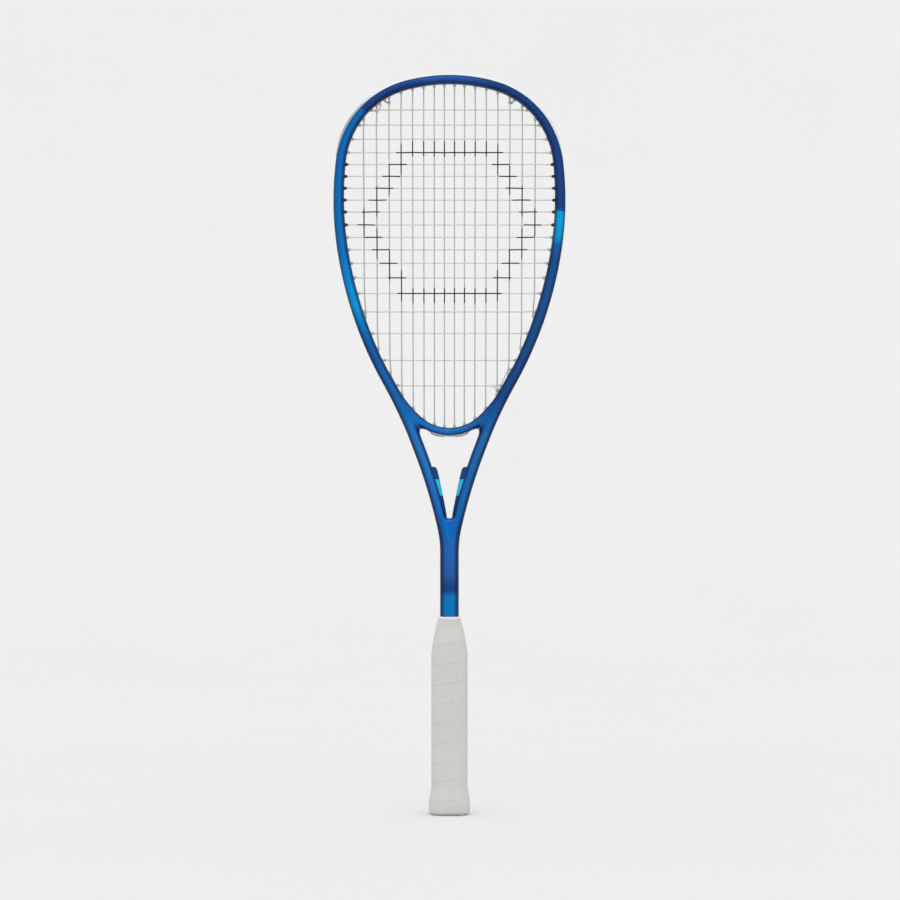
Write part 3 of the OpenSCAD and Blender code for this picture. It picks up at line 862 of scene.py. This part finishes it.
def oval_ring(half_u, half_y, power, count=32):
    turns = (np.arange(count) + 0.5) * 2 * math.pi / count
    c, s = np.cos(turns), np.sin(turns)
    return [
        (half_u * np.sign(a) * abs(a) ** (2 / power), half_y * np.sign(b) * abs(b) ** (2 / power))
        for a, b in zip(c, s)
    ]


def rough_tube(s):
    core, half = section(s)
    return [(u + core, y) for u, y in oval_ring(half, TUBE_HALF_D, TUBE_POWER)]


def rough_bridge():
    ring = oval_ring(BRIDGE_T / 2, BRIDGE_HALF_D, TUBE_POWER)
    angles = np.arange(-BOW_SPAN, BOW_SPAN + 1, 3.0)
    return loft([[flat3(bow(a, u + BRIDGE_T / 2), y) for u, y in ring] for a in angles])


def rough_shaft():
    ring = oval_ring(SHAFT_HALF_W, TUBE_HALF_D, SHAFT_POWER)
    return loft([[(u, y, z) for u, y in ring] for z in np.linspace(LEG_FOOT + 1, SHAFT_TOP, 60)])


VOXEL = 0.85
rough = [swept(places(-7, 7, 3.0), rough_tube), rough_bridge(), rough_shaft()]
skin_points, skin_quads = remeshed(rough, VOXEL)
skin_points = settled(skin_points, frame_field, 4)
for _ in range(4):
    skin_points = relaxed(skin_points, skin_quads, frame_field)
cad_nodes = ("frame_tube", "throat_bridge")
shell = piece("frame_shell", skin_points, skin_quads.tolist(), paint, cad_nodes, "frame_paint")
bends_out = slope_of(frame_field, skin_points)
bends_out /= np.linalg.norm(bends_out, axis=1)[:, None]
shell.data.normals_split_custom_set_from_vertices(bends_out.tolist())


# ---- Throat inserts ----
# The fins' inner face, as (height, distance from the middle line)
INSERT_FACE = [
    (272.4, 2.4), (276.5, 2.5), (287, 4.4), (298.5, 6.7), (310, 9.0), (317.5, 10.9), (320.2, 11.8),
    (321.3, 13.0), (321.7, 14.6),
]


def insert_ring(z, nose, side):
    """A wedge: broad where it meets the arm, and drawn in to a rounded nose."""
    half = [
        (nose + 7.0, 7.6), (nose + 3.4, 6.4), (nose + 1.5, 4.9), (nose + 0.5, 4.1),
        (nose + 0.05, 3.0), (nose, 1.4),
    ]
    ring = half + [(u, -y) for u, y in reversed(half)]
    return [(side * u, y, z) for u, y in ring]


def throat_insert(side):
    heights, noses = np.array(INSERT_FACE).T
    steps = np.concatenate([np.arange(heights[0], 317, 2.0), np.linspace(317.5, heights[-1], 8)])
    return loft([insert_ring(z, np.interp(z, heights, noses), side) for z in steps])


for side, word in SIDES:
    form = throat_insert(side)
    node = f"throat_insert_{word}"
    rounded(piece(f"throat_fin_{word}", *form, insert_paint, (node,), "insert_paint"))


# ---- Guards and grommets ----
# How far a sleeve stands past the inner face, how far it reaches into the tube, and its bore's radius
TIP = 2.5
SLEEVE_ROOT = 3.5
BORE = 0.85


def sleeve(hole):
    """A string sleeve: rooted inside the tube's wall, with a flared, rounded tip."""
    tip, root = hole.inner + TIP * hole.way, hole.inner - SLEEVE_ROOT * hole.way
    skin, end = SLEEVE_ROOT, SLEEVE_ROOT + TIP
    outline = [
        (0.0, 1.5), (skin - 0.2, 1.55), (skin + 0.25, 1.72), (skin + 0.8, 1.5), (end - 0.6, 1.22),
        (end - 0.15, 1.12), (end, 1.0), (end, BORE + 0.05), (end - 0.4, BORE), (0.0, BORE),
    ]
    return lathe(flat3(root), flat3(tip), outline)


def collar(hole):
    """The raised ring round a hole on the outer side, in the string channel."""
    way = (hole.outer - hole.inner) / np.linalg.norm(hole.outer - hole.inner)
    outline = [(0.0, 1.45), (1.0, 1.45), (1.3, 1.35), (1.38, 1.15), (1.2, 0.95), (0.0, 0.85)]
    return lathe(flat3(hole.outer - way), flat3(hole.outer + way), outline, 16)


def holes_within(low, high):
    every = top_holes + foot_holes[2:] + cross_holes
    return [hole for hole in every if low < hole.place < high]


def sleeves(holes):
    return [form for hole in holes for form in (sleeve(hole), collar(hole))]


def tube_edge(s, y):
    """How far out the tube's skin is at depth y, without its groove."""
    core, half = section(s)
    return core + half * (1 - (abs(y) / TUBE_HALF_D) ** TUBE_POWER) ** (1 / TUBE_POWER)


# The guard's half depth, and its string channel's half width and floor
GUARD_HALF_D = 7.3
CHANNEL = 1.6
CHANNEL_FLOOR = 3.05


def guard_profile(s):
    """A cover over the outer face with a string channel along its middle, thinned to its ends."""
    t = GUARD_T * (1 - 0.72 * float(rise(abs(s), 1.72, GUARD_END)))
    width = GUARD_HALF_D * (1 - 0.16 * float(rise(abs(s), 1.8, GUARD_END)))

    def over(y, share):
        return (tube_edge(s, y * width) + share * t, y * width)

    half = [
        (CHANNEL_FLOOR, 0.0), (CHANNEL_FLOOR, CHANNEL - 0.15), (4.2, CHANNEL),
        (TUBE_HALF_W + 0.86 * t, CHANNEL + 0.1), over(0.29, 0.97), over(0.42, 1.0), over(0.6, 0.99),
        over(0.78, 0.92), over(0.9, 0.74), over(0.98, 0.42), over(1.0, 0.1), over(0.95, -0.12),
        over(0.72, -0.12), over(0.55, -0.12), (3.4, 2.9), (2.7, 2.3), (2.6, 0.0),
    ]
    return both_halves(half)


form = swept(places(-GUARD_END, GUARD_END, 4.0), guard_profile)
rounded(piece("bumper_cover", *form, guard_white, ("bumper_guard",), "guard_white"))
crown_holes = holes_within(-1, GUARD_END)
crown_holes += [hole.mirrored() for hole in crown_holes]
crown_holes += [square_hole(s) for s in (MAIN_TIE, -MAIN_TIE, -CROSS_TIE_TOP)]
piece("bumper_sleeves", *merged(sleeves(crown_holes)), grommet_clear, (), "grommet_clear")


def strip_profile(s):
    """A channel that lies in the groove, its rims level with the tube's skin to near the foot."""
    sunk = 2.2 * float(rise(abs(s), LOWER_ENDS[1] - 0.09, LOWER_ENDS[1]))
    half = [
        (3.15, 0.0), (3.15, 1.35), (3.5, 1.6), (4.45, 1.75), (4.7, 2.1), (4.62, 2.5), (4.0, 2.85),
        (3.3, 2.6), (2.6, 2.2), (2.5, 0.0),
    ]
    return both_halves([(u - sunk, y) for u, y in half])


def strip(low, high, side, extra=()):
    stops = places(low, high, 3.0)
    channel = swept([side * s for s in stops], strip_profile)
    holes = holes_within(low, high) + list(extra)
    if side < 0:
        holes = [hole.mirrored() for hole in holes]
    return merged([channel] + sleeves(holes))


for side, word in SIDES:
    form, node = strip(*SIDE_ENDS, side), f"side_grommets_{word}"
    piece(f"side_strip_{word}", *form, grommet_dark, (node,), "grommet_dark")
    extra = [square_hole(CROSS_TIE_FOOT)] if side > 0 else []
    form, node = strip(*LOWER_ENDS, side, extra), f"lower_grommets_{word}"
    piece(f"lower_strip_{word}", *form, grommet_clear, (node,), "grommet_clear")

# The saddle's ends, in degrees along the bow, its thickness, and the middle of its string loops
SADDLE_SPAN = 25.0
SADDLE_T = 1.1
loop_middle = (bow_at_x(foot_x(0)) + bow_at_x(foot_x(1))) / 2


def saddle_ring(angle):
    """A thin strap under the bridge, with a raised rim each side of the string loops."""
    ends = 1 - float(rise(abs(angle), SADDLE_SPAN - 5, SADDLE_SPAN))
    swell = math.exp(-(((abs(angle) - loop_middle) / 5.5) ** 2))
    low = BRIDGE_T - 0.5
    rim = BRIDGE_T + 0.25 + (SADDLE_T - 0.2 + 1.2 * swell) * ends
    floor = BRIDGE_T + 0.1 + 0.7 * ends
    half = [
        (floor, 0.0), (floor, 0.9), (floor + 0.25, 1.25), (rim - 0.15, 1.5), (rim, 1.9),
        (rim - 0.1, 2.9), (rim - 0.5, 3.4), (low + 0.5, 3.6), (low, 3.2), (low, 0.0),
    ]
    return [flat3(bow(angle, u), y) for u, y in both_halves(half)]


saddle = loft([saddle_ring(a) for a in np.arange(-SADDLE_SPAN, SADDLE_SPAN + 0.1, 1.25)])
middle_holes = foot_holes[:2] + [hole.mirrored() for hole in foot_holes[:2]]
form = merged([saddle] + [sleeve(hole) for hole in middle_holes])
piece("throat_saddle", *form, grommet_clear, ("throat_grommets",), "grommet_clear")


# ---- Strings ----
# How far mains and crosses bend out of the plane, and how far out the loops lie
MAIN_SWAY = 0.26
CROSS_SWAY = STRING_D - MAIN_SWAY
LOOP_T = CHANNEL_FLOOR + STRING_D / 2 + 0.05
SADDLE_LOOP_T = BRIDGE_T + 0.8 + STRING_D / 2 + 0.05


def exit_point(hole):
    """Where the string comes out of its sleeve and turns into its straight run."""
    return hole.inner + (TIP + 0.6) * hole.way


def through(hole):
    """The string's way through the tube, from the groove to the sleeve's root."""
    return [flat3(hole.outer), flat3(hole.inner - 1.5 * hole.way)]


def run_outside(a, b, y=0.0):
    count = max(3, int(abs(b - a) * 30))
    return [flat3(at(s, LOOP_T), y) for s in np.linspace(a, b, count)]


def run_under(a, b):
    return [flat3(bow(angle, SADDLE_LOOP_T)) for angle in np.linspace(a, b, 7)]


def crossed(j):
    edge = exit_point(cross_holes[j])[0]
    return [k for k in range(MAINS) if main_x_at(k, CROSS_Z[j]) < edge - 1]


def over_under(j, k, side):
    """1 where cross j passes behind main k, -1 where it passes in front."""
    count = len(crossed(j))
    i = count + k if side > 0 else count - 1 - k
    return 1 if (i + j + count) % 2 == 0 else -1


def swaying(start, stops, end, step=1.1):
    """A run from start to end whose depth sways smoothly through the stops."""
    marks = [start] + stops + [end]
    out = [marks[0]]
    for a, b in zip(marks[:-1], marks[1:]):
        a, b = np.asarray(a, float), np.asarray(b, float)
        count = max(2, int(np.linalg.norm(b - a) / step))
        for u in np.linspace(0, 1, count + 1)[1:]:
            p = a + (b - a) * u
            p[1] = a[1] + (b[1] - a[1]) * (1 - math.cos(math.pi * u)) / 2
            out.append(p)
    return out


def main_up(k, side=1):
    foot, top = exit_point(foot_holes[k]), exit_point(top_holes[k])
    stops = []
    for j, z in reversed(list(enumerate(CROSS_Z))):
        if k in crossed(j) and foot[1] + 2 < z < top[1] - 2:
            stops.append((main_x_at(k, z), -MAIN_SWAY * over_under(j, k, side), z))
    inside = swaying(flat3(foot), stops, flat3(top))
    return through(foot_holes[k]) + inside + through(top_holes[k])[::-1]


def tie_end(s, y):
    inner = at(s, inner_face(s) - TIP - 1.2)
    return [flat3(at(s, LOOP_T), y), flat3(at(s, inner_face(s) + 1)), flat3(inner)]


def main_half(side):
    """One half of the main string, from the top of the head out to its knot, drawn at the right."""
    path = [flat3(at(0, LOOP_T))] + run_outside(top_places[0] * 0.3, top_places[0])
    angles = [bow_at_x(foot_x(k)) for k in range(2)]
    path += main_up(0, side)[::-1] + run_under(*angles) + main_up(1, side)
    for k in (2, 4, 6):
        path += run_outside(top_places[k - 1], top_places[k]) + main_up(k, side)[::-1]
        path += run_outside(foot_holes[k].place, foot_holes[k + 1].place) + main_up(k + 1, side)
    path += run_outside(top_places[7], MAIN_TIE, 1.0) + tie_end(MAIN_TIE, 0.6)
    return np.array(path)


left_half = main_half(-1) * (-1, 1, 1)
main_path = np.concatenate([left_half[:0:-1], main_half(1)])
form = tube(softened(main_path, 1), STRING_D / 2)
piece("main_strings", *form, string_main, ("main_string",), "string_main")


def row(j):
    """One cross, from the left half's groove to the right half's."""
    edge = exit_point(cross_holes[j])
    stops = []
    for side in (-1, 1):
        for k in crossed(j)[::side]:
            x = side * main_x_at(k, CROSS_Z[j])
            stops.append((x, CROSS_SWAY * over_under(j, k, side), CROSS_Z[j]))
    inside = swaying(flat3(edge * (-1, 1)), stops, flat3(edge), 0.9)
    return through(cross_holes[j].mirrored()) + inside + through(cross_holes[j])[::-1]


cross_path = tie_end(-CROSS_TIE_TOP, -0.6)[::-1]
cross_path += run_outside(-CROSS_TIE_TOP, -cross_holes[0].place, -1.0)
for j in range(len(CROSS_Z)):
    side = 1 if j % 2 == 0 else -1
    cross_path += row(j)[::side]
    if j + 1 < len(CROSS_Z):
        cross_path += run_outside(*(side * hole.place for hole in cross_holes[j : j + 2]))
cross_path += run_outside(CROSS_EXIT, CROSS_TIE_FOOT, -1.0) + tie_end(CROSS_TIE_FOOT, -0.6)
form = tube(softened(cross_path, 1), STRING_D / 2)
piece("cross_strings", *form, string_cross, ("cross_string",), "string_cross")


# ---- Knots ----
KNOT_TURNS = 2.2
KNOT_DROP = 5.2
FOOT_KNOT_RISE = 4.4


def knot(x, z, tails, hole):
    """Half hitches round a main string, the lead from the tie hole, and two cut tails."""
    coil = []
    for u in np.linspace(0, 1, 60):
        angle = 2 * math.pi * KNOT_TURNS * u
        reach = STRING_D * (0.94 + 0.03 * math.sin(5 * angle))
        coil.append((x + reach * math.cos(angle), reach * math.sin(angle), z + 2.3 * (u - 0.5)))
    lead = [flat3(hole.inner), flat3(exit_point(hole), 0.3)]
    parts = [tube(softened(lead + [(x + 1.3, 0.6, z - 1.4)] + coil, 2), STRING_D * 0.45)]
    for start, (along, rise_z) in zip((coil[-1], coil[6]), tails):
        start = np.array(start)
        bend = start + (along * 0.35, -0.5, rise_z * 0.3)
        end = start + (along, -0.9, rise_z)
        parts.append(tube(softened([start, bend, end], 2), STRING_D * 0.42))
    return merged(parts)


knot_z = top_holes[5].inner[1] - KNOT_DROP
for side, word in SIDES:
    tails = [(side * 0.9, -2.2), (-side * 1.3, 1.7)]
    form = knot(side * main_x_at(5, knot_z), knot_z, tails, square_hole(side * MAIN_TIE))
    piece(f"main_hitch_{word}", *form, string_main, (f"main_knot_{word}",), "string_main")
knot_z = top_holes[6].inner[1] - KNOT_DROP
tails = [(-0.9, -2.2), (1.7, -0.9)]
form = knot(-main_x_at(6, knot_z), knot_z, tails, square_hole(-CROSS_TIE_TOP))
piece("cross_hitch_top", *form, string_cross, ("cross_knot_top",), "string_cross")
knot_z = foot_holes[4].inner[1] + FOOT_KNOT_RISE
tails = [(-5.0, 2.4), (1.0, -2.4)]
form = knot(main_x_at(4, knot_z), knot_z, tails, square_hole(CROSS_TIE_FOOT))
piece("cross_hitch_foot", *form, string_cross, ("cross_knot_bottom",), "string_cross")


# ---- Handle ----
HANDLE_POWER = 0.62
WRAP_SIDES = 168
WRAP_PITCH = 18.0
LAP = 0.26
TAPE_END = 0.16
TAPE_LAP = (0.05, 0.16)


def handle_half(z):
    """Half width and half depth of the wrapped handle at a height."""
    top = min(1.0, max(0.0, (z - TAPER_FROM) / (GRIP_TOP - TAPER_FROM)))
    shut = top * (0.45 + 0.55 * top)
    low = min(1.0, max(0.0, (8 - z) / 8))
    flare = float(rise(-z, -27, -9)) * (1 - 0.5 * low**3) * (BUTT_W - GRIP_W) / 2
    return (
        GRIP_W / 2 * (1 - shut) + NECK_W * shut + flare,
        GRIP_D / 2 * (1 - shut) + NECK_D * shut + flare,
    )


def handle_ring(z, inset, count, proud=lambda share: 0.0):
    """One ring of the handle, drawn in by inset; proud(share of a turn) is added to its reach."""
    half_x, half_y = (half - inset for half in handle_half(z))
    ring = []
    for j in range(count):
        share = j / count
        c, s = math.cos(2 * math.pi * share), math.sin(2 * math.pi * share)
        x = math.copysign(abs(c) ** HANDLE_POWER, c)
        y = math.copysign(abs(s) ** HANDLE_POWER, s)
        extra = proud(share)
        ring.append((x * (half_x + extra), y * (half_y + extra), z))
    return ring


def lap(z, share):
    """The spiral of the wrap: each turn lies on the one below, with a rounded edge."""
    turn = (z / WRAP_PITCH - share) % 1.0
    edge = float(rise(turn, 0.0, 0.05)) * (1 - turn)
    pinch = -0.10 * math.exp(-((min(turn, 1 - turn) / 0.03) ** 2))
    fade = float(rise(z, 3.0, 9.0)) * (1 - float(rise(z, GRIP_TOP - 9, GRIP_TOP - 3)))
    return (LAP * (edge - 0.75) + pinch) * fade


def wrap_rings(count, step):
    """The wrap's rings, from its turned-in lower lip to its upper edge."""
    lip = [(2.6, 1.7), (2.1, 0.9), (1.9, 0.35), (2.3, 0.05)]
    rings = [handle_ring(z, inset, count) for z, inset in lip]
    for z in np.arange(3.2, GRIP_TOP - 0.6, step):
        rings.append(handle_ring(z, 0.0, count, lambda share, z=z: lap(z, share)))
    edge = [(GRIP_TOP - 0.3, 0.12), (GRIP_TOP, 0.6), (GRIP_TOP - 0.2, 1.6)]
    return rings + [handle_ring(z, inset, count) for z, inset in edge]


form = loft(wrap_rings(WRAP_SIDES, 0.5), capped=False)
piece("grip_spiral", *form, grip_skin, ("grip_wrap",), "grip_wrap")


# The tape, as (height below the top, reach past the wrap)
TAPE_OUTLINE = [(2.7, -0.5), (3.0, 0.02), (2.75, 0.24), (0.25, 0.27), (0.0, 0.05), (0.0, -1.3)]


def tape_ring(below, out):
    """One ring of the tape, a little proud of the rest where its end laps over."""
    start, stop = TAPE_LAP
    end = TAPE_END if out > 0 else 0.0

    def reach(share):
        return out + (end if start < share < stop else 0.0)

    return handle_ring(GRIP_TOP - below, 0.0, WRAP_SIDES, reach)


form = loft([tape_ring(below, out) for below, out in TAPE_OUTLINE], capped=False)
piece("finishing_band", *form, tape_skin, ("grip_finishing_tape",), "grip_tape")

# The cap, as (height, inset): a shallow hollow, a rounded foot and a skirt up inside the wrap
CAP_OUTLINE = [
    (0.9, 11.5), (0.85, 8.9), (0.3, 8.2), (0.0, 7.4), (0.0, 4.2), (0.25, 3.0), (0.7, 2.0),
    (1.3, 1.2), (1.9, 0.85), (2.6, 0.8), (3.0, 1.2), (3.4, 1.9), (8.0, 2.0), (16.0, 2.0),
    (24.0, 2.0), (24.0, 3.4),
]
form = loft([handle_ring(z, inset, 96) for z, inset in CAP_OUTLINE])
piece("butt_cup", *form, cap_plastic, ("butt_cap",), "cap_plastic")

# The CAD's own pieces that stay, out of sight inside the handle
CARRIED_OVER = {
    "handle_pallet_front": handle_foam,
    "handle_pallet_back": handle_foam,
    "tube_end_plugs": plug_foam,
    "butt_cap_staples": steel,
    "grip_staple": steel,
}
for name, material in CARRIED_OVER.items():
    mesh = nodes[name].data
    mesh.materials.clear()
    mesh.materials.append(material)


# ---- Stage, light and camera ----
def stage_finish():
    f = Finish("studio_floor", Specular_IOR_Level=0.0)
    grain = f.noise(3.0, 4.0)
    return f.use(Base_Color=f.mix(grain, "F8F8F8", "FAFAFA"), Roughness=0.9)


def backdrop():
    """A pale floor that curves up into a wall behind the racket."""
    half, front, wall, bend, top = 6.0, -6.0, 3.2, 1.6, 5.0
    line = [(front, 0.0), (wall - bend, 0.0)]
    for a in np.radians(np.linspace(0, 90, 16)[1:]):
        line.append((wall - bend + bend * math.sin(a), bend * (1 - math.cos(a))))
    line.append((wall, top))
    points = [(x, y, z) for y, z in line for x in (-half, half)]
    faces = [[i, i + 1, i + 3, i + 2] for i in range(0, len(points) - 2, 2)]
    mesh = bpy.data.meshes.new("studio_floor")
    mesh.from_pydata(points, [], faces)
    mesh.shade_smooth()
    mesh.materials.append(stage_finish())
    obj = bpy.data.objects.new("studio_floor", mesh)
    bpy.context.scene.collection.objects.link(obj)


LIGHT_TARGET = Vector((0, 0, 0.35))


def softbox(name, where, size, power):
    """A square light that looks at the racket's middle and lights only the racket."""
    light = bpy.data.lights.new(name, "AREA")
    light.shape = "RECTANGLE"
    light.size = light.size_y = size
    light.energy = power
    obj = bpy.data.objects.new(name, light)
    obj.location = where
    obj.rotation_mode = "QUATERNION"
    obj.rotation_quaternion = (LIGHT_TARGET - Vector(where)).to_track_quat("-Z", "Y")
    obj.light_linking.receiver_collection = racket
    bpy.context.scene.collection.objects.link(obj)


backdrop()
softbox("key_light", (-0.4, -1.5, 3.0), 1.6, 26)
softbox("fill_light", (1.2, -3.0, 1.0), 1.8, 6)

world = bpy.data.worlds.new("studio")
world.use_nodes = True
sky = world.node_tree.nodes["Background"].inputs
sky["Color"].default_value = (1.0, 1.0, 1.0, 1.0)
sky["Strength"].default_value = 0.93
bpy.context.scene.world = world
bpy.context.scene.view_settings.view_transform = "Standard"

# How far the camera stands back, and the height that its picture spans there
CAMERA_BACK = 2.5
VIEW_HEIGHT = 0.8338
camera_data = bpy.data.cameras.new("camera")
camera_data.sensor_width = 36.0
camera_data.lens = 36.0 * CAMERA_BACK / VIEW_HEIGHT
camera = bpy.data.objects.new("camera", camera_data)
camera.location = (0.0005, -CAMERA_BACK, 0.337)
camera.rotation_euler = (math.radians(90), 0, 0)
bpy.context.scene.collection.objects.link(camera)
bpy.context.scene.camera = camera
